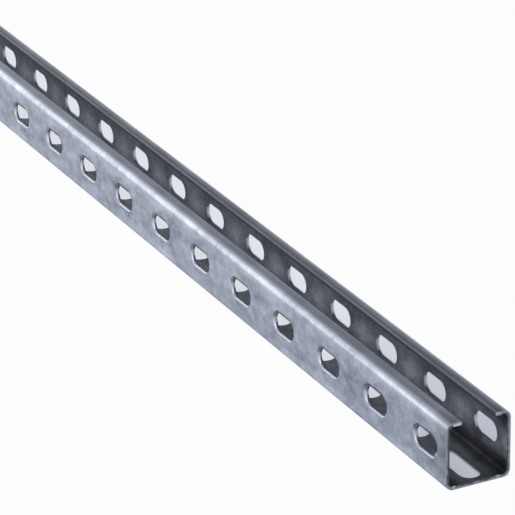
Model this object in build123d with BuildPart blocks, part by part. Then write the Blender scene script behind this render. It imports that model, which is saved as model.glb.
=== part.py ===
"""Perforated C-section mounting rail, roll formed from one strip of sheet steel.

The rail lies along X with its open side up. The origin is under the middle of the base,
on the base's outer face. The cut end at +X is the one the slots are counted from.
"""
import os

from build123d import *

# Driving dimensions, millimetres
rail_length = 1000.0
rail_width = 36.0
rail_height = 36.0
sheet_thickness = 2.0
bend_inside_radius = 2.0
lip_depth = 8.5  # from a side wall's outer face to the lip's free edge
lip_upper_radius = 0.5  # on the two long edges of each lip's free end
lip_lower_radius = 0.3

# Slots, all three rows on one pitch
slot_pitch = 50.0
first_slot_centre = 20.2  # from the cut end at +X
side_slot_length = 21.4
side_slot_width = 11.2
side_slot_centre_height = 18.3  # above the base's outer face
side_slot_edge_radius = 1.2  # outer edge, where the punch drew the sheet in
base_slot_length = 34.0
base_slot_width = 10.9
base_slot_edge_radius = 0.5
end_bridge = 3.0  # least sheet left between the last slot and a cut end

# Worked out from the dimensions above
bend_outside_radius = bend_inside_radius + sheet_thickness
mouth_width = rail_width - 2 * lip_depth
longest_slot = max(side_slot_length, base_slot_length)
slot_run = rail_length - first_slot_centre - longest_slot / 2 - end_bridge
slot_count = int(slot_run // slot_pitch) + 1
slot_positions = [
    rail_length / 2 - first_slot_centre - number * slot_pitch for number in range(slot_count)
]

with BuildPart() as channel_rail:
    # Section: closed box outline with rounded bends, hollowed and opened at the top
    with BuildSketch(Plane.YZ):
        with Locations((0, rail_height / 2)):
            RectangleRounded(rail_width, rail_height, bend_outside_radius)
            RectangleRounded(
                rail_width - 2 * sheet_thickness,
                rail_height - 2 * sheet_thickness,
                bend_inside_radius,
                mode=Mode.SUBTRACT,
            )
        with Locations((0, rail_height)):
            Rectangle(mouth_width, rail_height, mode=Mode.SUBTRACT)
    extrude(amount=rail_length / 2, both=True)

    # Long edges of the two lips, on either side of the mouth
    long_edges = channel_rail.edges().filter_by(Axis.X)
    lip_edges = long_edges.filter_by_position(Axis.Y, -mouth_width / 2, mouth_width / 2)
    lower_lip_edges, upper_lip_edges = lip_edges.group_by(Axis.Z)[-2:]
    fillet(upper_lip_edges, lip_upper_radius)
    fillet(lower_lip_edges, lip_lower_radius)

    # Side slots: each cut passes through both side walls
    with BuildSketch(Plane.XZ):
        with Locations([(x, side_slot_centre_height) for x in slot_positions]):
            SlotOverall(side_slot_length, side_slot_width)
    extrude(amount=rail_width, both=True, mode=Mode.SUBTRACT)

    # Base slots: larger, under the side slots
    with BuildSketch(Plane.XY):
        with Locations([(x, 0) for x in slot_positions]):
            SlotOverall(base_slot_length, base_slot_width)
    extrude(amount=2 * sheet_thickness, both=True, mode=Mode.SUBTRACT)

    # Outer edges of all slots, rounded by the punch
    flat_faces = channel_rail.faces().filter_by(GeomType.PLANE)
    walls = flat_faces.sort_by(Axis.Y)
    base = flat_faces.sort_by(Axis.Z)[0]
    side_outlines = walls[0].inner_wires() + walls[-1].inner_wires()
    base_outlines = base.inner_wires()
    fillet(side_outlines.edges(), side_slot_edge_radius)
    fillet(base_outlines.edges(), base_slot_edge_radius)

channel_rail.part.label = "channel_rail"

os.makedirs("parts", exist_ok=True)
export_step(channel_rail.part, "parts/channel_rail.step")
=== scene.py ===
import math

import bmesh
import bpy
from mathutils import Matrix, Vector, noise


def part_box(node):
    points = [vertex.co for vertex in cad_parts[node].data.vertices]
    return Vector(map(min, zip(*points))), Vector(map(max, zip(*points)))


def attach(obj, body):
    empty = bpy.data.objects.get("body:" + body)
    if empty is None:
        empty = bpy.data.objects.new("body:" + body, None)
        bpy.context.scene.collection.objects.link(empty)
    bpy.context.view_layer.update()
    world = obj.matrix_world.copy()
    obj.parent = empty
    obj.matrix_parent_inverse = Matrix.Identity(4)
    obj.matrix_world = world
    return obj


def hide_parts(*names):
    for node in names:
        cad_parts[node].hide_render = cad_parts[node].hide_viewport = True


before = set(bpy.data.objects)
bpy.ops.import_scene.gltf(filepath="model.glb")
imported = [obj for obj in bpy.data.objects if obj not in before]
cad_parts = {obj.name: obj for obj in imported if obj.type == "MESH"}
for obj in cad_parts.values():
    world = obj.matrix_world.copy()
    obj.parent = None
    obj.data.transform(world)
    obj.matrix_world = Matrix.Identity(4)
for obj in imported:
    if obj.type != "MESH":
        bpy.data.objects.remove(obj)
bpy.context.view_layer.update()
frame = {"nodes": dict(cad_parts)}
print("frame loaded:", ", ".join(frame["nodes"]))

# The rail, in metres. Its length, width and height come from the frame.
railLow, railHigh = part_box("channel_rail")
railLength, railWidth, railHeight = railHigh - railLow
rail = {
    # section and slots
    "sheet": 0.002,
    "bendInside": 0.002,
    "lipDepth": 0.0085,
    "lipRoll": 0.0005,  # rounded upper edge of a lip
    "lipBurr": 0.0003,  # small round on its lower edge
    "slotPitch": 0.050,
    "firstSlot": 0.0202,  # centre to the cut end at +X
    "sideSlot": (0.0214, 0.0112),  # length, width
    "sideSlotHeight": 0.0183,
    "baseSlot": (0.034, 0.0109),
    "endBridge": 0.003,  # least sheet between the last slot and its cut end
    # what punching leaves round a slot
    "sideRoll": (0.0012, 0.0012),  # outer edge drawn in: width, depth
    "baseRoll": (0.0005, 0.0005),
    "dipReach": 0.0042,  # faint dish outside the drawn edge
    "dipDepth": 0.00007,  # how deep it is at the cut
    "cleanCut": 0.45,  # share of the straight cut that is clean, the rest is torn
    "tornShadedEnd": 0.85,  # painted shade, with a torn finish, on that clean part at the -X ends of the -Y wall's slots
    "tear": 0.00016,  # how far the torn part opens out
    "tearWaist": (0.6, 0.9),  # share of that opening, and how deep in the sheet it lies
    "tearRough": 0.00013,  # how uneven it is
    "tearGrain": 2100,  # lumps in a metre
    "burr": 0.00007,  # proud of the inner face
    "burrRough": 0.3,  # share of the tear's unevenness in it
    "burrFoot": 0.0004,  # how far its foot reaches over the inner face
    # what cutting leaves on the ends
    "endRound": 0.00010,  # round on both faces
    "endRecess": 0.00025,  # the end face lies this far inside its own burrs
    "endGrain": (420, 700, 3.0),  # lumps in a metre across and through the sheet, step to the other end
    "endLow": (0.2, 0.5),  # low burr all round: height as a share of the recess, unevenness
    "endHigh": 0.5,  # share of the recess that a high burr adds
    "endBurrs": (  # high burrs: across the strip, into the sheet
        (0.0006, 0.0012), (0.0021, 0.0018), (0.0036, 0.0019),
        (0.0424, 0.0014), (0.0672, 0.0010), (0.1096, 0.0010), (0.1110, 0.0008),
    ),
    "endBurrSize": 0.0009,  # reach of a high burr
    "endTorn": (0.624, 0.24),  # how torn the cut is at its outer face, how much more inside
    "endClean": (0.28, 0.5),  # how much less on the low burr, and on the high ones
    # where the finish changes, and where light and shade are painted
    "creaseShadeReach": 0.007,  # reach of the painted shade beside an inner bend
    "baseShade": 0.16,  # painted shade over the base's inner face, as a share of that in a bend
    "slotLightHeight": 0.006,  # painted pool of light inside, between the slots: reach up and down
    "slotLightLength": 0.0085,  # and along the rail
    "slotLightEnd": 0.003,  # its reach from a cut end
    "farGlint": (-0.0012, 0.0030),  # painted highlight in the cut of the +Y wall's slots: height, half size
    "nearGlint": (0.0003, 0.0016),  # and of the -Y wall's
    "rimTurn": (0.05, 0.40),  # a drawn edge's painted highlight turns to painted shade between these heights, in slot radii
    "rimLight": 0.6,  # how bright the painted highlight is at the slot's end toward -X
    "rimBelow": 0.18,  # how much less painted highlight along its lower side
    "rimAbove": 1.45,  # how dark the painted shade is along its upper side
    "rimCorner": 0.55,  # how much less painted shade toward -X
    "bendLight": (0.42, 0.005, 0.002),  # painted highlight beside an outer bend: amount, reach on the wall and on the bend
    # how finely the sheet is divided
    "columns": 16,  # along one pitch
    "rows": 12,  # across a wall or the base
    "bendSteps": 8,
    "rollSteps": 5,
    "endSteps": 3,
    "flatShares": (1.0, 0.5, 0.22, 0.07),  # rings round a slot, from the cell's outline inward
    "innerShares": (0.08, 0.45, 1.0),  # and outward on the inner face
    "support": 0.00035,  # narrow strips that keep the flats flat beside a bend
    "lipMiddle": 0.6,  # share of a lip's flat where one more line runs
    "grid": 1e7,  # steps in a metre: points on the same step are one
    "sharpEdge": 38,  # degrees
}
rolled, sheared = 0, 1  # finishes of a face, in the order of the rail's materials

sheet = rail["sheet"]
bendOutside = rail["bendInside"] + sheet
mouthWidth = railWidth - 2 * rail["lipDepth"]
quarterTurn = math.radians(90)
bendRun = quarterTurn * (rail["bendInside"] + sheet / 2)
stripRuns = [
    ("lip", rail["lipDepth"] - bendOutside),
    ("bend", bendRun),
    ("wall", railHeight - 2 * bendOutside),
    ("bend", bendRun),
    ("base", railWidth - 2 * bendOutside),
    ("bend", bendRun),
    ("wall", railHeight - 2 * bendOutside),
    ("bend", bendRun),
    ("lip", rail["lipDepth"] - bendOutside),
]
stripStarts = [sum(run for kind, run in stripRuns[:i]) for i in range(len(stripRuns))]
stripWidth = sum(run for kind, run in stripRuns)


# A place on the flat strip, across it and into the sheet, folded to the section's y and z
def fold(across, depth):
    corner = Vector((-mouthWidth / 2, railHeight))
    heading = Vector((-1.0, 0.0))
    for (kind, run), start in zip(stripRuns, stripStarts):
        here = across - start
        inward = Vector((-heading.y, heading.x))
        if kind == "bend":
            centre = corner + inward * bendOutside
            turn = Matrix.Rotation(quarterTurn * min(here / run, 1.0), 2)
            if here <= run:
                return centre - (turn @ inward) * (bendOutside - depth)
            corner = centre - (turn @ inward) * bendOutside
            heading = turn @ heading
        elif here <= run or start == stripStarts[-1]:
            return corner + heading * here + inward * depth
        else:
            corner = corner + heading * run


# The three rows of slots: centre across the strip, length, width, and the flat they lie in.
# up says which way across the strip is up the wall, and is 0 on the base.
def slotRows():
    rows = []
    fromBase = rail["sideSlotHeight"] - bendOutside
    for (kind, run), start in zip(stripRuns, stripStarts):
        if kind == "base":
            middle, up = run / 2, 0
        elif kind == "wall" and start > stripWidth / 2:
            middle, up = fromBase, 1
        elif kind == "wall":
            middle, up = run - fromBase, -1
        else:
            continue
        long, wide = rail["sideSlot"] if up else rail["baseSlot"]
        rows.append({
            "middle": start + middle, "long": long, "wide": wide, "up": up,
            "roll": rail["sideRoll"] if up else rail["baseRoll"],
            "start": start, "end": start + run,
        })
    return rows


def slotCentres():
    longest = max(rail["sideSlot"][0], rail["baseSlot"][0])
    room = railLength - rail["firstSlot"] - longest / 2 - rail["endBridge"]
    count = int(room // rail["slotPitch"]) + 1
    return [railHigh.x - rail["firstSlot"] - i * rail["slotPitch"] for i in range(count)]


rows = slotRows()
centres = slotCentres()
flatEnd = railLength / 2 - rail["endRound"]  # where the round of a cut end begins


# Columns of one pitch cell, from -X to +X, rounded to nine places so that neighbouring cells share them
def cellColumns(i):
    left = -flatEnd if i == len(centres) - 1 else centres[i] - rail["slotPitch"] / 2
    right = flatEnd if i == 0 else centres[i] + rail["slotPitch"] / 2
    columns = rail["columns"]
    return [round(left + (right - left) * step / columns, 9) for step in range(columns + 1)]


# Distance from a place on the strip to the nearest cut edge: slot, lip or end
def cutGap(x, across):
    gaps = [across, stripWidth - across, railLength / 2 - abs(x)]
    for row in rows:
        nearest = min(centres, key=lambda centre: abs(centre - x))
        core = max(abs(x - nearest) - (row["long"] - row["wide"]) / 2, 0.0)
        gaps.append(math.hypot(core, across - row["middle"]) - row["wide"] / 2)
    return max(min(gaps), 0.0)


# Distance across the strip to the nearest run of a kind
def runGap(across, wanted):
    return min(
        max(start - across, across - start - run, 0.0)
        for (kind, run), start in zip(stripRuns, stripStarts) if kind == wanted
    )


# Painted shade in the inner bends and over the base's inner face
def creaseShadeAt(across, depth):
    if depth < sheet / 2:
        return 0.0
    bend = max(1 - runGap(across, "bend") / rail["creaseShadeReach"], 0.0) ** 2
    base = max(1 - runGap(across, "base") / rail["creaseShadeReach"], 0.0)
    return max(bend, rail["baseShade"] * base)


# Painted light on the inner walls: pools between the slots, where light comes in through them, and a band
# beside the cut ends
def slotLightAt(x, across, depth):
    if depth < sheet / 2 or runGap(across, "wall") > 0:
        return 0.0
    middle = min(rows, key=lambda row: abs(row["middle"] - across))["middle"]
    height = math.exp(-(((across - middle) / rail["slotLightHeight"]) ** 2))
    nearest = min(centres, key=lambda centre: abs(centre - x))
    between = max(rail["slotPitch"] / 2 - abs(x - nearest), 0.0)
    beside = railLength / 2 - abs(x)
    middlePatch = math.exp(-((between / rail["slotLightLength"]) ** 2))
    return height * max(middlePatch, math.exp(-beside / rail["slotLightEnd"]))


# Painted highlight on the outer face where a wall runs into a bend
def bendLight(across, depth):
    if depth >= sheet / 2:
        return 0.0
    amount, onWall, onBend = rail["bendLight"]
    reach = onBend if runGap(across, "wall") > 0 else onWall
    gap = min(
        min(abs(across - start), abs(across - start - run))
        for (kind, run), start in zip(stripRuns, stripStarts) if kind == "wall"
    )
    return amount * max(1 - gap / reach, 0.0)


# The folded sheet as it grows: each point is made once and shared
points, faces, finishes, places = [], [], [], []
pointIndex = {}
pointValues = {}  # for each point, what its finish needs to know


# The last two values are painted light: a highlight in a cut, and highlight and shade on a drawn edge
def point(x, across, depth, shear=0.0, glint=0.0, rim=0.0):
    key = tuple(round(value * rail["grid"]) for value in (x, across, depth))
    if key not in pointIndex:
        pointIndex[key] = len(points)
        points.append((x, *fold(across, depth)))
        places.extend((x, across, depth))
        for name, value in (
            ("cutGap", cutGap(x, across)),
            ("shearDepth", shear),
            ("paintedCreaseShade", creaseShadeAt(across, depth)),
            ("paintedSlotLight", slotLightAt(x, across, depth)),
            ("lipShare", max(1 - runGap(across, "lip") / bendRun, 0.0)),
            ("cutGlint", glint),
            ("rimLightAndShade", rim or bendLight(across, depth)),
        ):
            pointValues.setdefault(name, []).append(value)
    return pointIndex[key]


def quad(a, b, c, d, finish=rolled):
    corners = list(dict.fromkeys((a, b, c, d)))
    if len(corners) > 2:
        faces.append(corners)
        finishes.append(finish)


# Depth of the faint dish round a slot
def dip(gap):
    return rail["dipDepth"] * max(1 - gap / rail["dipReach"], 0.0) ** 2


# A side slot seen from its middle: painted highlight in its cut, and painted highlight along the lower
# and -X side of its drawn edge with painted shade along the upper side
def slotMarks(away, radius, up):
    if not up:
        return 0.0, 0.0
    rise = away[1] * up
    toEnd, below = max(-away[0], 0.0), max(-rise, 0.0)
    level, half = rail["farGlint"] if up > 0 else rail["nearGlint"]
    glint = toEnd * math.exp(-(((rise * radius - level) / half) ** 2))
    first, last = rail["rimTurn"]
    turned = min(max((rise - first) / (last - first), 0.0), 1.0)
    light = rail["rimLight"] * toEnd ** 0.5 * (1 + toEnd * below)
    light -= rail["rimBelow"] * below * (1 - toEnd)
    dark = rail["rimAbove"] - rail["rimCorner"] * toEnd
    return glint, light * (1 - turned) - dark * turned


# From the outline of a pitch cell in to the slot's edge, through the sheet, and out again inside
def slotSpoke(x, across, centre, row):
    radius = row["wide"] / 2
    half = (row["long"] - row["wide"]) / 2
    core = centre + max(-half, min(half, x - centre))
    distance = math.hypot(x - core, across - row["middle"])
    reach = distance - radius
    away = ((x - core) / distance, (across - row["middle"]) / distance)
    rollWidth, rollDepth = row["roll"]

    # gap from the slot's outline, depth, how torn, finish
    steps = []
    for share in rail["flatShares"]:
        gap = rollWidth + share * (reach - rollWidth)
        steps.append((gap, dip(gap) if share < 1 else 0.0, 0.0, rolled))
    rim = dip(rollWidth)
    for step in range(rail["rollSteps"] + 1):
        angle = quarterTurn * step / rail["rollSteps"]
        depth = rim + (rollDepth - rim) * (1 - math.cos(angle))
        steps.append((rollWidth * (1 - math.sin(angle)), depth, 0.0, rolled))
    edge = Vector((core + away[0] * radius, row["middle"] + away[1] * radius, 0.0))
    rough = noise.noise(edge * rail["tearGrain"]) * rail["tearRough"]
    clean = rollDepth + rail["cleanCut"] * (sheet - rollDepth) + rough
    tornShadedEnd = rail["tornShadedEnd"] * max(-away[0], 0.0) if row["up"] < 0 else 0.0
    waist, waistDepth = rail["tearWaist"]
    foot = rail["tear"] + rail["burrFoot"]
    steps += [
        (0.0, clean, max(clean / sheet, tornShadedEnd), sheared),
        (rail["tear"] * waist + rough, sheet * waistDepth, waistDepth, sheared),
        (rail["tear"] + rough, sheet + rail["burr"] + rail["burrRough"] * rough, 1.0, sheared),
        (foot, sheet, 0.0, rolled),
    ]
    steps += [(foot + share * (reach - foot), sheet, 0.0, rolled) for share in rail["innerShares"]]

    # painted highlight in the cut, and painted highlight and shade on the drawn edge
    glint, rimLightAndShade = slotMarks(away, radius, row["up"])
    spoke = []
    for gap, depth, shear, finish in steps:
        out = radius + gap
        place = (core + away[0] * out, row["middle"] + away[1] * out)
        drawn = finish == rolled and depth < sheet / 2 and gap <= rollWidth
        spoke.append((point(*place, depth, shear, glint, rimLightAndShade if drawn else 0.0), finish))
    return spoke


def addSlotCell(columns, acrossSteps, centre, row):
    low, high = acrossSteps[0], acrossSteps[-1]
    outline = [(x, low) for x in columns[:-1]]
    outline += [(columns[-1], across) for across in acrossSteps[:-1]]
    outline += [(x, high) for x in reversed(columns[1:])]
    outline += [(columns[0], across) for across in reversed(acrossSteps[1:])]
    spokes = [slotSpoke(x, across, centre, row) for x, across in outline]
    for first, second in zip(spokes, spokes[1:] + spokes[:1]):
        for near, beside, beyond, far in zip(first, second, second[1:], first[1:]):
            quad(near[0], beside[0], beyond[0], far[0], far[1])


# Rounded free edge of a lip, from its upper face to its lower one: across, depth, inward normal
def lipEdge():
    upper, lower = [], []
    last = rail["rollSteps"] - 1
    for step in range(rail["rollSteps"]):
        angle = quarterTurn * step / last
        along, turned = 1 - math.sin(angle), 1 - math.cos(angle)
        roll, burr = rail["lipRoll"], rail["lipBurr"]
        upper.append((roll * along, roll * turned, math.sin(angle), math.cos(angle)))
        lower.append((burr * along, sheet - burr * turned, math.sin(angle), -math.cos(angle)))
    return upper + lower[::-1]


# Positions across a bend
def bendSteps(i):
    start, run = stripStarts[i], stripRuns[i][1]
    return [start + run * step / rail["bendSteps"] for step in range(rail["bendSteps"] + 1)]


# The same positions on the other side of the strip
def mirrored(positions):
    return [stripWidth - across for across in reversed(positions)]


def addStrip(columns, acrossSteps, depth):
    for left, right in zip(columns, columns[1:]):
        for low, high in zip(acrossSteps, acrossSteps[1:]):
            corners = ((left, low), (right, low), (right, high), (left, high))
            quad(*[point(*corner, depth) for corner in corners])


def addLipEdges(columns, profile):
    for side in (0, 1):
        line = [(stripWidth - across if side else across, depth) for across, depth, *_ in profile]
        for left, right in zip(columns, columns[1:]):
            for step, (low, high) in enumerate(zip(line, line[1:])):
                corners = ((left, low), (right, low), (right, high), (left, high))
                finish = sheared if step > 0 else rolled
                quad(*[point(x, *spot, shear=1.0) for x, spot in corners], finish)


def buildSheet():
    support = rail["support"]
    columns = sorted({x for i in range(len(centres)) for x in cellColumns(i)})

    # across positions of each flat that carries slots
    for row in rows:
        low, high = row["start"] + support, row["end"] - support
        row["steps"] = [low + (high - low) * step / rail["rows"] for step in range(rail["rows"] + 1)]

    # bands between them, outside and inside
    lipRun = stripRuns[0][1]
    overLip = [rail["lipRoll"], lipRun * rail["lipMiddle"], lipRun - support]
    underLip = [rail["lipBurr"]] + overLip[1:]
    bends = [bendSteps(i) for i, (kind, run) in enumerate(stripRuns) if kind == "bend"]
    middleBands = [
        [rows[0]["steps"][-1]] + bends[1] + [rows[1]["steps"][0]],
        [rows[1]["steps"][-1]] + bends[2] + [rows[2]["steps"][0]],
    ]
    firstBand = bends[0] + [rows[0]["steps"][0]]
    lastBand = [rows[2]["steps"][-1]] + bends[3]
    bands = [overLip + firstBand, *middleBands, lastBand + mirrored(overLip)]
    innerBands = [underLip + firstBand, *middleBands, lastBand + mirrored(underLip)]
    for outer, inner in zip(bands, innerBands):
        addStrip(columns, outer, 0.0)
        addStrip(columns, inner, sheet)

    profile = lipEdge()
    addLipEdges(columns, profile)
    for i, centre in enumerate(centres):
        for row in rows:
            addSlotCell(cellColumns(i), row["steps"], centre, row)

    # cut ends: round the sheet's outline, with the normal that points into it
    outer = sorted({across for steps in bands + [row["steps"] for row in rows] for across in steps})
    inner = [underLip[0]] + outer[1:-1] + [stripWidth - underLip[0]]
    loop = [(across, 0.0, 0.0, 1.0) for across in outer]
    for across, depth, sideways, into in profile[1:-1]:
        loop.append((stripWidth - across, depth, -sideways, into))
    loop += [(across, sheet, 0.0, -1.0) for across in reversed(inner)]
    loop += profile[1:-1][::-1]
    for side in (-1, 1):
        addEnd(side, loop, len(outer), len(profile) - 2)


# How far the burrs stand up on a cut end, as a share of its recess, and the high and the low ones alone
def endBurr(across, depth, side):
    acrossGrain, throughGrain, sideStep = rail["endGrain"]
    level, uneven = rail["endLow"]
    spot = Vector((across * acrossGrain, depth * throughGrain, side * sideStep))
    low = level + uneven * noise.noise(spot)
    gap = min(math.hypot(across - place, depth - into) for place, into in rail["endBurrs"])
    high = math.exp(-((gap / rail["endBurrSize"]) ** 2))
    burr = (1 - rail["endHigh"]) * max(0.0, min(1.0, low)) + rail["endHigh"] * high
    return burr, high, low


def addEnd(side, loop, outerCount, edgeCount):
    outside, inside = rail["endTorn"]
    cleanLow, cleanHigh = rail["endClean"]
    rings = []
    for step in range(rail["endSteps"] + 1):
        angle = quarterTurn * step / rail["endSteps"]
        inset = rail["endRound"] * (1 - math.cos(angle))
        ring = []
        for across, depth, sideways, into in loop:
            burr, high, low = endBurr(across, depth, side)
            torn = outside + inside * depth / sheet - cleanLow * low - cleanHigh * high
            proud = rail["endRound"] - rail["endRecess"] * (1 - burr)
            x = side * (flatEnd + proud * math.sin(angle))
            # the high burrs carry a painted highlight
            ring.append(point(x, across + sideways * inset, depth + into * inset, torn, high))
        rings.append(ring)
    for near, far in zip(rings, rings[1:]):
        for a, b, c, d in zip(near, near[1:] + near[:1], far[1:] + far[:1], far):
            quad(a, b, c, d, sheared)
    cap = rings[-1]
    innerStart = outerCount + edgeCount
    innerEnd = innerStart + outerCount
    outer, inner = cap[:outerCount], cap[innerStart:innerEnd][::-1]
    for a, b, c, d in zip(outer, outer[1:], inner[1:], inner):
        quad(a, b, c, d, sheared)
    for tip in (cap[outerCount - 1:innerStart + 1], cap[innerEnd - 1:] + cap[:1]):
        faces.append(tip)
        finishes.append(sheared)


def makeRail():
    buildSheet()
    railMesh = bpy.data.meshes.new("slottedRail")
    railMesh.from_pydata(points, [], faces)
    made = railMesh.attributes.new("stripPlace", "FLOAT_VECTOR", "POINT")
    made.data.foreach_set("vector", places)
    for name, values in pointValues.items():
        made = railMesh.attributes.new(name, "FLOAT", "POINT")
        made.data.foreach_set("value", values)
    railMesh.polygons.foreach_set("material_index", finishes)
    work = bmesh.new()
    work.from_mesh(railMesh)
    bmesh.ops.recalc_face_normals(work, faces=work.faces)
    work.to_mesh(railMesh)
    work.free()
    railMesh.shade_smooth()
    railMesh.set_sharp_from_angle(angle=math.radians(rail["sharpEdge"]))
    piece = bpy.data.objects.new("slottedRail", railMesh)
    bpy.context.scene.collection.objects.link(piece)
    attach(piece, "root")
    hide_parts("channel_rail")
    print("rail folded:", len(points), "points,", len(faces), "faces")
    return piece


# A shader node at a spot of the tree, with its settings and its plain input values
def addNode(tree, kind, spot, settings=None, inputs=None):
    made = tree.nodes.new(kind)
    made.location = spot
    for name, value in (settings or {}).items():
        setattr(made, name, value)
    for name, value in (inputs or {}).items():
        made.inputs[name].default_value = value
    return made


# Links what gives a socket its value, or sets a plain one
def feed(tree, socket, value):
    if isinstance(value, bpy.types.NodeSocket):
        tree.links.new(value, socket)
    else:
        socket.default_value = value


def addMath(tree, operation, spot, first, second=0.0, clamp=False):
    settings = {"operation": operation, "use_clamp": clamp}
    made = addNode(tree, "ShaderNodeMath", spot, settings)
    feed(tree, made.inputs[0], first)
    feed(tree, made.inputs[1], second)
    return made.outputs[0]


def addRange(tree, spot, source, low, high, first=0.0, last=1.0):
    limits = {"From Min": first, "From Max": last, "To Min": low, "To Max": high}
    made = addNode(tree, "ShaderNodeMapRange", spot, None, limits)
    tree.links.new(source, made.inputs["Value"])
    return made.outputs["Result"]


# A mix of two colours: its sockets 0, 6 and 7 are the factor and the colours, and output 2 is the colour
def addMix(tree, spot, factor, first, second, settings=None):
    made = addNode(tree, "ShaderNodeMix", spot, {"data_type": "RGBA", **(settings or {})})
    for index, value in ((0, factor), (6, first), (7, second)):
        feed(tree, made.inputs[index], value)
    return made.outputs[2]


def addScale(tree, spot, vector, amount):
    made = addNode(tree, "ShaderNodeVectorMath", spot, {"operation": "SCALE"})
    tree.links.new(vector, made.inputs[0])
    feed(tree, made.inputs["Scale"], amount)
    return made.outputs[0]


def addSplit(tree, spot, vector):
    made = addNode(tree, "ShaderNodeSeparateXYZ", spot)
    tree.links.new(vector, made.inputs[0])
    return made.outputs


def addBump(tree, spot, height, bump, shader):
    strength, distance = bump
    made = addNode(tree, "ShaderNodeBump", spot, None, {"Strength": strength, "Distance": distance})
    tree.links.new(height, made.inputs["Height"])
    tree.links.new(made.outputs[0], shader.inputs["Normal"])


def addGroup(tree, group, spot, inputs, links):
    made = addNode(tree, "ShaderNodeGroup", spot, {"node_tree": group}, inputs)
    for name, source in links.items():
        tree.links.new(source, made.inputs[name])
    return made.outputs[0]


def readPoint(tree, name, spot, output="Fac"):
    return addNode(tree, "ShaderNodeAttribute", spot, {"attribute_name": name}).outputs[output]


# Place on the flat strip, in millimetres
def stripPlace(tree):
    return addScale(tree, (-2000, 0), readPoint(tree, "stripPlace", (-2200, 0), "Vector"), 1000.0)


def newMaterial(name):
    material = bpy.data.materials.new(name)
    material.use_nodes = True
    tree = material.node_tree
    shader = tree.nodes["Principled BSDF"]
    shader.location = (700, 0)
    tree.nodes["Material Output"].location = (1000, 0)
    return material, tree, shader


def newGroup(name, inputs, outputs):
    tree = bpy.data.node_groups.new(name, "ShaderNodeTree")
    for label, kind, value in inputs:
        socket = tree.interface.new_socket(name=label, in_out="INPUT", socket_type=kind)
        if value is not None:
            socket.default_value = value
    for label, kind in outputs:
        tree.interface.new_socket(name=label, in_out="OUTPUT", socket_type=kind)
    start = addNode(tree, "NodeGroupInput", (-1400, 0))
    end = addNode(tree, "NodeGroupOutput", (900, 0))
    return tree, start.outputs, end.inputs


# Streaks stretched by a length and a width, in millimetres on the strip
def zincStreaks():
    tree, given, out = newGroup(
        "zincStreaks",
        [
            ("Place", "NodeSocketVector", None),
            ("Along", "NodeSocketFloat", 1.0),
            ("Across", "NodeSocketFloat", 8.0),
            ("Through", "NodeSocketFloat", 0.09),
            ("Detail", "NodeSocketFloat", 4.0),
            ("Seed", "NodeSocketFloat", 0.0),
        ],
        [("Streak", "NodeSocketFloat")],
    )
    split = addSplit(tree, (-1150, 0), given["Place"])
    along = addMath(tree, "DIVIDE", (-900, 200), split["X"], given["Along"])
    across = addMath(tree, "DIVIDE", (-900, 0), split["Y"], given["Across"])
    through = addMath(tree, "DIVIDE", (-900, -200), split["Z"], given["Through"])
    through = addMath(tree, "ADD", (-750, -200), through, given["Seed"])
    joined = addNode(tree, "ShaderNodeCombineXYZ", (-600, 0))
    for socket, source in zip(joined.inputs, (along, across, through)):
        tree.links.new(source, socket)
    grain = addNode(tree, "ShaderNodeTexNoise", (-400, 0), None, {"Scale": 1.0, "Roughness": 0.55})
    tree.links.new(joined.outputs[0], grain.inputs["Vector"])
    tree.links.new(given["Detail"], grain.inputs["Detail"])
    tree.links.new(grain.outputs["Fac"], out["Streak"])
    return tree


# Wear that follows a cut edge: full at the edge, broken up, gone at its width
def edgeWear():
    tree, given, out = newGroup(
        "edgeWear",
        [
            ("Place", "NodeSocketVector", None),
            ("Gap", "NodeSocketFloat", 0.0),
            ("Width", "NodeSocketFloat", 1.5),
            ("Break Up", "NodeSocketFloat", 0.6),
        ],
        [("Wear", "NodeSocketFloat")],
    )
    settings = {"Scale": 0.9, "Detail": 3.0, "Roughness": 0.6}
    grain = addNode(tree, "ShaderNodeTexNoise", (-1100, -200), None, settings)
    tree.links.new(given["Place"], grain.inputs["Vector"])
    near = addMath(tree, "DIVIDE", (-1100, 200), given["Gap"], given["Width"])
    fade = addMath(tree, "SUBTRACT", (-850, 200), 1.0, near, True)
    uneven = addMath(tree, "SUBTRACT", (-850, -200), grain.outputs["Fac"], 0.5)
    uneven = addMath(tree, "MULTIPLY", (-600, -200), uneven, given["Break Up"])
    uneven = addMath(tree, "MULTIPLY", (-350, -200), uneven, fade)
    worn = addMath(tree, "MULTIPLY", (-350, 200), fade, fade)
    tree.links.new(addMath(tree, "ADD", (-100, 0), worn, uneven, True), out["Wear"])
    return tree


streakGroup = zincStreaks()
wearGroup = edgeWear()

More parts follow.
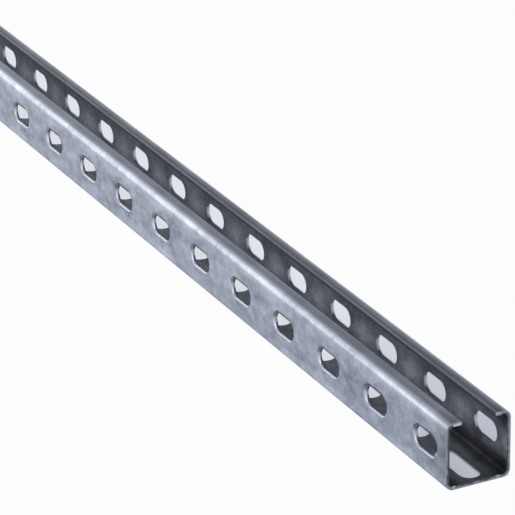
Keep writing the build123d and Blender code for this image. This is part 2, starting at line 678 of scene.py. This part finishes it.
# Finish of the rolled faces; lengths in millimetres
zincFace = {
    "dark": (0.246, 0.268, 0.316, 1.0),
    "light": (0.520, 0.555, 0.635, 1.0),
    "toneRange": (-0.7, 2.1),  # limits of the tone, where 0 is dark and 1 is light
    # streaks: along, across, amount, detail, amount more on a lip
    "cloud": (26.0, 15.0, 0.80, 1.0, -0.30),
    "smear": (3.0, 5.0, 0.33, 2.0, -0.32),
    "rolled": (90.0, 0.7, 0.14, 1.0, 0.55),
    "patch": (7.0, 5.0, 0.86, 3.5, -0.78),
    "fleck": (1.6, 1.3, 0.30, 2.0, -0.20),
    "through": 0.09,  # keeps the two faces of the sheet from looking alike
    "seedStep": 7.0,  # keeps the kinds of streak apart
    # marks that lighten or darken the tone
    "wear": (1.7, 0.30),  # cut edges: width, amount
    "slotLightAmount": 1.55,  # painted pools of light inside
    "slotLightFleck": (0.48, 0.75, 2.6),  # brighter flecks in those painted pools: where a fleck begins and is full, amount
    "rim": 0.80,  # painted highlight and shade on the slots' drawn edges, painted highlight beside the outer bends
    # painted shade and duller places, as the share of the colour that is left
    "innerDepth": (1.0, 1.9),  # in the sheet, where the inner face's finish begins and is full
    "innerTint": (0.88, 0.86, 0.83, 1.0),
    "innerMetal": 0.72,
    "creaseShade": 0.27,  # colour left under the painted shade in the inner bends
    "creaseShadeEnd": (0.42, 75.0, 4.5),  # deeper painted shade in the bends near a cut end: what is left, reach, how soon in a bend
    "farLipShade": (0.64, 0.86),  # painted shade on the +Y lip: colour left at the middle and toward +X
    "farLipShadeAlong": (100.0, 400.0),  # and from where to where along the rail it changes
    "farLipShadeEdge": (-0.5, 1.5),  # where it fades in, counted from where the lip begins
    "farLipShadeLine": (109.7, 1.1, 0.55),  # painted dark reflection line along it: across the strip, reach, share left
    "endShade": (0.68, 17.0),  # painted shade at the cut ends: share left, reach
    "rough": (0.42, 0.32),  # between the smears, and on them
    "creaseRough": 0.22,  # how much more in the inner bends
    "bump": (0.008, 0.0002),  # strength, distance in metres
}


# Tone of the zinc from its streaks, from 0 dark to 1 light. A streak's noise runs from 0 to 1 round 0.5.
def streakTone(tree, place):
    lip = readPoint(tree, "lipShare", (-1500, 1500))
    tone = 0.5
    streaks = {}
    for i, name in enumerate(("cloud", "smear", "rolled", "patch", "fleck")):
        along, across, amount, detail, onLip = zincFace[name]
        level = 1200 - i * 300
        values = {
            "Along": along, "Across": across, "Through": zincFace["through"],
            "Detail": detail, "Seed": zincFace["seedStep"] * i,
        }
        streak = addGroup(tree, streakGroup, (-1500, level), values, {"Place": place})
        weight = addRange(tree, (-1250, level + 100), lip, 2 * amount, 2 * (amount + onLip))
        centred = addMath(tree, "SUBTRACT", (-1250, level), streak, 0.5)
        weighed = addMath(tree, "MULTIPLY", (-1050, level), centred, weight)
        tone = addMath(tree, "ADD", (-850, level), weighed, tone)
        streaks[name] = streak
    return tone, streaks


# Tone with worn edges, painted pools of light inside, and painted highlight and shade on the slots' drawn
# edges and beside the outer bends
def markedTone(tree, place, tone, fleck):
    width, amount = zincFace["wear"]
    gap = addMath(tree, "MULTIPLY", (-1750, -500), readPoint(tree, "cutGap", (-2000, -500)), 1000.0)
    wear = addGroup(tree, wearGroup, (-1500, -500), {"Width": width}, {"Place": place, "Gap": gap})
    begin, full, fleckAmount = zincFace["slotLightFleck"]
    flecks = addRange(tree, (-1500, -700), fleck, 0.0, fleckAmount, begin, full)
    flecks = addMath(tree, "ADD", (-1250, -700), flecks, zincFace["slotLightAmount"])
    for i, (mark, strength) in enumerate((
        (wear, amount),
        (readPoint(tree, "paintedSlotLight", (-1500, -900)), flecks),
        (readPoint(tree, "rimLightAndShade", (-1500, -1050)), zincFace["rim"]),
    )):
        weighed = addMath(tree, "MULTIPLY", (-1050, -500 - 200 * i), mark, strength)
        tone = addMath(tree, "ADD", (-850, -500 - 200 * i), tone, weighed)
    lowest, highest = zincFace["toneRange"]
    tone = addMath(tree, "MAXIMUM", (-600, 200), tone, lowest)
    return addMath(tree, "MINIMUM", (-400, 200), tone, highest)


# Share of the colour left under painted shade: in the inner bends, on the +Y lip and at the cut ends
def shadeShare(tree, split, creaseShade):
    railEnd = 1000 * railLength / 2
    along = addMath(tree, "ABSOLUTE", (-1500, -1500), split["X"])
    left = addRange(tree, (-1250, -1300), creaseShade, 1.0, zincFace["creaseShade"])

    creaseLeft, reach, soon = zincFace["creaseShadeEnd"]
    inBend = addMath(tree, "MULTIPLY", (-1250, -1500), creaseShade, soon, True)
    atEnd = addRange(tree, (-1250, -1700), along, 0.0, 1 - creaseLeft, railEnd - reach, railEnd)
    deep = addMath(tree, "MULTIPLY", (-1000, -1600), atEnd, inBend)
    deepLeft = addMath(tree, "SUBTRACT", (-800, -1600), 1.0, deep)

    # painted shade on the +Y lip, lighter toward +X
    middleLeft, endLeft = zincFace["farLipShade"]
    lipStart = 1000 * (stripWidth - stripRuns[-1][1])
    edges = [lipStart + step for step in zincFace["farLipShadeEdge"]]
    onFar = addRange(tree, (-1250, -2000), split["Y"], 0.0, 1.0, *edges)
    limits = (1 - middleLeft, 1 - endLeft, *zincFace["farLipShadeAlong"])
    farShade = addRange(tree, (-1250, -2300), split["X"], *limits)
    farShade = addMath(tree, "MULTIPLY", (-1000, -2100), onFar, farShade)
    farLeft = addMath(tree, "SUBTRACT", (-800, -2100), 1.0, farShade)

    # painted dark reflection line along the +Y lip
    lineAt, lineReach, lineLeft = zincFace["farLipShadeLine"]
    line = addMath(tree, "SUBTRACT", (-1500, -2600), split["Y"], lineAt)
    line = addMath(tree, "ABSOLUTE", (-1250, -2600), line)
    line = addRange(tree, (-1000, -2600), line, lineLeft, 1.0, 0.0, lineReach)
    farLeft = addMath(tree, "MULTIPLY", (-800, -2400), farLeft, line)

    # painted shade at the cut ends, where the bend's highlight fades
    endShadeLeft, endShadeReach = zincFace["endShade"]
    ends = addRange(tree, (-1000, -2900), along, 1.0, endShadeLeft, railEnd - endShadeReach, railEnd)
    for i, share in enumerate((deepLeft, farLeft, ends)):
        left = addMath(tree, "MULTIPLY", (-550 + 200 * i, -1600), left, share)
    return left


def zincFaceMaterial():
    material, tree, shader = newMaterial("galvanisedFace")
    place = stripPlace(tree)
    split = addSplit(tree, (-1750, -1300), place)
    tone, streaks = streakTone(tree, place)
    tone = markedTone(tree, place, tone, streaks["fleck"])
    unclamped = {"clamp_factor": False}
    colour = addMix(tree, (-200, 200), tone, zincFace["dark"], zincFace["light"], unclamped)
    inside = addRange(tree, (-200, -100), split["Z"], 0.0, 1.0, *zincFace["innerDepth"])
    darker = {"blend_type": "MULTIPLY"}
    colour = addMix(tree, (50, 200), inside, colour, zincFace["innerTint"], darker)
    # painted shade in the inner bends and over the base, and more roughness there
    creaseShade = readPoint(tree, "paintedCreaseShade", (-1750, -1500))
    colour = addScale(tree, (300, 200), colour, shadeShare(tree, split, creaseShade))
    tree.links.new(colour, shader.inputs["Base Color"])
    rough = addRange(tree, (50, -300), streaks["smear"], *zincFace["rough"])
    creaseRough = addMath(tree, "MULTIPLY", (50, -600), creaseShade, zincFace["creaseRough"])
    rough = addMath(tree, "ADD", (300, -300), rough, creaseRough)
    tree.links.new(rough, shader.inputs["Roughness"])
    metal = addRange(tree, (300, -50), split["Z"], 1.0, zincFace["innerMetal"], *zincFace["innerDepth"])
    tree.links.new(metal, shader.inputs["Metallic"])
    relief = addMath(tree, "ADD", (50, -800), streaks["smear"], streaks["patch"])
    addBump(tree, (300, -800), relief, zincFace["bump"], shader)
    return material


# Finish of the cut faces: clean cut outside, torn inside, with a painted highlight
cutFace = {
    "clean": (0.46, 0.48, 0.52, 1.0),
    "torn": (0.13, 0.135, 0.145, 1.0),
    # colour of the painted highlight in a cut, nearly white and little metal
    "cutGlint": (0.93, 0.94, 0.97, 1.0),
    "cutGlintMetal": 0.30,
    "cutGlintFrom": (0.22, 0.45),  # where the painted highlight begins and is full
    "rough": (0.30, 0.62),
    "grain": {"Along": 0.35, "Across": 0.35, "Through": 3.0, "Detail": 4.0, "Seed": 31.0},
    "tear": (0.62, 0.74),  # share of the sheet's depth where the tear begins and is full
    "ragged": 0.25,  # how ragged that line is
    "bump": (0.25, 0.0002),  # strength, distance in metres
}


def cutFaceMaterial():
    material, tree, shader = newMaterial("shearedEdge")
    place = stripPlace(tree)
    grain = addGroup(tree, streakGroup, (-1500, 0), cutFace["grain"], {"Place": place})
    centred = addMath(tree, "SUBTRACT", (-1250, -200), grain, 0.5)
    ragged = addMath(tree, "MULTIPLY", (-1050, -200), centred, cutFace["ragged"])
    ragged = addMath(tree, "ADD", (-850, -200), ragged, readPoint(tree, "shearDepth", (-1050, -400)))
    torn = addRange(tree, (-600, -200), ragged, 0.0, 1.0, *cutFace["tear"])
    colour = addMix(tree, (-300, 200), torn, cutFace["clean"], cutFace["torn"])
    # painted highlight patch in the cut, at the slots' ends and on the high burrs
    patch = addMath(tree, "ADD", (-850, -700), readPoint(tree, "cutGlint", (-1050, -700)), centred)
    patch = addRange(tree, (-600, -700), patch, 0.0, 1.0, *cutFace["cutGlintFrom"])
    colour = addMix(tree, (0, 200), patch, colour, cutFace["cutGlint"])
    rough = addRange(tree, (0, -100), torn, *cutFace["rough"])
    metal = addRange(tree, (0, -400), patch, 1.0, cutFace["cutGlintMetal"])
    for name, source in (("Base Color", colour), ("Roughness", rough), ("Metallic", metal)):
        tree.links.new(source, shader.inputs[name])
    addBump(tree, (350, -700), grain, cutFace["bump"], shader)
    return material


railPiece = makeRail()
railPiece.data.materials.append(zincFaceMaterial())
railPiece.data.materials.append(cutFaceMaterial())
print("finishes made")

# Studio: a pale floor, a low softbox at the far left, one above it, one overhead, one in front
studio = {
    "floorRadius": 30.0,
    "floorSides": 96,
    "floorDrop": 0.0002,  # below the rail's underside
    "floorColour": (0.84, 0.86, 0.91, 1.0),
    "floorRough": 0.9,
    "floorWhite": 0.965,  # share of plain white that camera and reflections see
    # reflections of the floor near the rail
    "metalWhite": 0.60,  # share in front of it
    "metalFront": (-0.045, -0.13),  # and from where to where it grows to the full one
    "metalEnd": 0.78,  # what is left of it in front of the cut end
    "metalFade": (0.27, 0.42),  # and from where to where along the rail that comes in
    "metalShade": 0.26,  # share under and close behind the rail
    "metalContact": 0.003,  # how far in front of the rail that begins
    "metalBack": (0.10, 0.30),  # and from where to where behind it the full share comes back
    # the rail's shade for the camera, seen through its slots
    "shadeTint": (0.84, 0.90, 1.0, 1.0),  # colour of the white that is left in it
    "shadeTintFrom": 0.3,  # share of white at which that colour is full
    "shadeUnder": (0.70, 0.38),  # share under the base: far, and at the cut end
    "underFade": (0.37, 0.47),  # and from where to where along the rail it changes
    "underEdge": 0.008,  # how far inside the +Y face it gives way to the share behind
    "shadeBehind": (0.70, 0.31),  # share behind the rail: far, and at the cut end
    "shadeFade": (0.28, 0.47),  # and from where to where along the rail it changes
    "shadeFront": (0.002, 0.008),  # inside the -Y face, where the shade begins and is full
    "shadeDepth": (0.026, 0.034),  # behind the +Y face, where it begins to end and is gone
    "shadeEnd": (-0.0028, -0.0003),  # the same along the rail, counted from the cut end
    "shadeSlant": 1.66,  # how its end lies back from there
    "horizon": (0.92, 0.93, 0.95, 1.0),
    "sky": (0.15, 0.165, 0.19, 1.0),
    "skyClimb": (0.12, 0.48),  # sine of the elevation where the sky leaves the horizon, and is full
    "softboxes": {
        "farLeft": {
            "place": (-1.37, -0.97, 0.65), "aim": (0.15, 0.0, 0.0), "size": (1.65, 1.25), "power": 10.5,
        },
        "highLeft": {
            "place": (-1.50, -0.13, 1.22), "aim": (0.1, 0.0, 0.0), "size": (1.5, 1.2), "power": 3.8,
        },
        "overhead": {
            "place": (0.10, -0.20, 1.7), "aim": (0.1, 0.0, 0.0), "size": (1.0, 1.0), "power": 4.0,
        },
        "front": {
            "place": (1.00, -1.45, 0.80), "aim": (0.3, 0.0, 0.0), "size": (1.6, 0.9), "power": 9.0,
        },
    },
}


# Share of plain white that the camera sees on the floor: less in the rail's shade
def cameraShare(tree, along, across):
    back = (railHigh.y, railHigh.y + 1.0)
    behind = addRange(tree, (-1200, 200), across, 0.0, studio["shadeSlant"], *back)
    past = addMath(tree, "ADD", (-1000, 200), along, behind)
    ends = [railHigh.x + step for step in studio["shadeEnd"]]
    hidden = addRange(tree, (-800, 200), past, 1.0, 0.0, *ends)
    starts = [railLow.y + step for step in studio["shadeFront"]]
    under = addRange(tree, (-1200, 500), across, 0.0, 1.0, *starts)
    depths = [railHigh.y + step for step in studio["shadeDepth"]]
    within = addRange(tree, (-1000, 500), across, 1.0, 0.0, *depths)
    within = addMath(tree, "MULTIPLY", (-800, 500), under, within)
    shade = addMath(tree, "MULTIPLY", (-600, 300), hidden, within)

    behindShare = addRange(tree, (-1000, 800), along, *studio["shadeBehind"], *studio["shadeFade"])
    underShare = addRange(tree, (-1000, 1050), along, *studio["shadeUnder"], *studio["underFade"])
    underEdges = (railHigh.y - studio["underEdge"], railHigh.y)
    below = addRange(tree, (-1000, 1300), across, 1.0, 0.0, *underEdges)
    gap = addMath(tree, "SUBTRACT", (-800, 900), underShare, behindShare)
    gap = addMath(tree, "MULTIPLY", (-600, 900), gap, below)
    inShade = addMath(tree, "ADD", (-400, 800), behindShare, gap)
    drop = addMath(tree, "SUBTRACT", (-200, 600), inShade, studio["floorWhite"])
    drop = addMath(tree, "MULTIPLY", (0, 600), drop, shade)
    return addMath(tree, "ADD", (200, 600), drop, studio["floorWhite"])


# The same in reflections: less in front of the rail, least under and behind it
def metalShare(tree, along, across):
    white = studio["floorWhite"]
    grow = (studio["metalWhite"], white, *studio["metalFront"])
    front = addRange(tree, (-1000, -100), across, *grow)
    end = addRange(tree, (-1000, -350), along, 1.0, studio["metalEnd"], *studio["metalFade"])
    front = addMath(tree, "MULTIPLY", (-800, -100), front, end)
    contact = (railLow.y - studio["metalContact"], railLow.y)
    before = addRange(tree, (-1000, -600), across, 1.0, 0.0, *contact)
    fall = (studio["metalShade"], white, *studio["metalBack"])
    back = addRange(tree, (-1000, -850), across, *fall)
    before = addMath(tree, "MAXIMUM", (-800, -600), before, back)
    return addMath(tree, "MINIMUM", (-600, -100), front, before)


def makeFloor():
    work = bmesh.new()
    sides, radius = studio["floorSides"], studio["floorRadius"]
    bmesh.ops.create_circle(work, cap_ends=True, segments=sides, radius=radius)
    floorMesh = bpy.data.meshes.new("studioFloor")
    work.to_mesh(floorMesh)
    work.free()
    floor = bpy.data.objects.new("studioFloor", floorMesh)
    floor.location.z = -studio["floorDrop"]
    bpy.context.scene.collection.objects.link(floor)

    material, tree, shader = newMaterial("paleFloor")
    shader.inputs["Base Color"].default_value = studio["floorColour"]
    shader.inputs["Roughness"].default_value = studio["floorRough"]
    shader.inputs["Specular IOR Level"].default_value = 0.0
    spot = addNode(tree, "ShaderNodeTexCoord", (-1650, 500))
    split = addSplit(tree, (-1450, 500), spot.outputs["Object"])
    path = addNode(tree, "ShaderNodeLightPath", (-200, 1300)).outputs
    seen = cameraShare(tree, split["X"], split["Y"])
    seen = addMath(tree, "MULTIPLY", (400, 800), path["Is Camera Ray"], seen)
    rays = addMath(tree, "MAXIMUM", (0, 1100), path["Is Glossy Ray"], path["Is Transmission Ray"])
    mirror = addMath(tree, "MULTIPLY", (400, 400), rays, metalShare(tree, split["X"], split["Y"]))
    whiteShare = addMath(tree, "MAXIMUM", (600, 600), seen, mirror)

    white = addNode(tree, "ShaderNodeEmission", (700, -500))
    tint = (studio["shadeTintFrom"], studio["floorWhite"])
    openness = addRange(tree, (300, -500), whiteShare, 0.0, 1.0, *tint)
    tint = addMix(tree, (500, -500), openness, studio["shadeTint"], (1.0, 1.0, 1.0, 1.0))
    tree.links.new(tint, white.inputs["Color"])
    blend = addNode(tree, "ShaderNodeMixShader", (1000, 200))
    for socket, source in zip(blend.inputs, (whiteShare, shader.outputs[0], white.outputs[0])):
        tree.links.new(source, socket)
    output = tree.nodes["Material Output"]
    output.location = (1250, 200)
    tree.links.new(blend.outputs[0], output.inputs["Surface"])
    floorMesh.materials.append(material)


def makeSky():
    world = bpy.data.worlds.new("studioSky")
    world.use_nodes = True
    bpy.context.scene.world = world
    tree = world.node_tree
    direction = addNode(tree, "ShaderNodeTexCoord", (-1000, 0))
    split = addSplit(tree, (-800, 0), direction.outputs["Generated"])
    climb = addRange(tree, (-600, 0), split["Z"], 0.0, 1.0, *studio["skyClimb"])
    climb.node.interpolation_type = "SMOOTHSTEP"
    colour = addMix(tree, (-350, 0), climb, studio["horizon"], studio["sky"])
    tree.links.new(colour, tree.nodes["Background"].inputs["Color"])


def makeSoftboxes():
    for name, box in studio["softboxes"].items():
        lamp = bpy.data.lights.new(name, "AREA")
        lamp.shape = "RECTANGLE"
        lamp.size, lamp.size_y = box["size"]
        lamp.energy = box["power"]
        made = bpy.data.objects.new(name, lamp)
        made.location = box["place"]
        away = Vector(box["aim"]) - Vector(box["place"])
        made.rotation_euler = away.to_track_quat("-Z", "Y").to_euler()
        bpy.context.scene.collection.objects.link(made)


# Viewpoint of the photo, found from the slots and the long edges
viewpoint = {
    "place": (1.6844, -0.7061, 0.7256),
    "turn": (66.281, 0.923, 63.152),  # degrees
    "lens": 223.94,
    "sensor": 36.0,
}


def makeCamera():
    lens = bpy.data.cameras.new("viewpoint")
    lens.lens = viewpoint["lens"]
    lens.sensor_width = viewpoint["sensor"]
    camera = bpy.data.objects.new("viewpoint", lens)
    camera.location = viewpoint["place"]
    camera.rotation_euler = [math.radians(angle) for angle in viewpoint["turn"]]
    bpy.context.scene.collection.objects.link(camera)
    bpy.context.scene.camera = camera


makeFloor()
makeSky()
makeSoftboxes()
makeCamera()
bpy.context.scene.view_settings.view_transform = "Standard"
print("studio set")
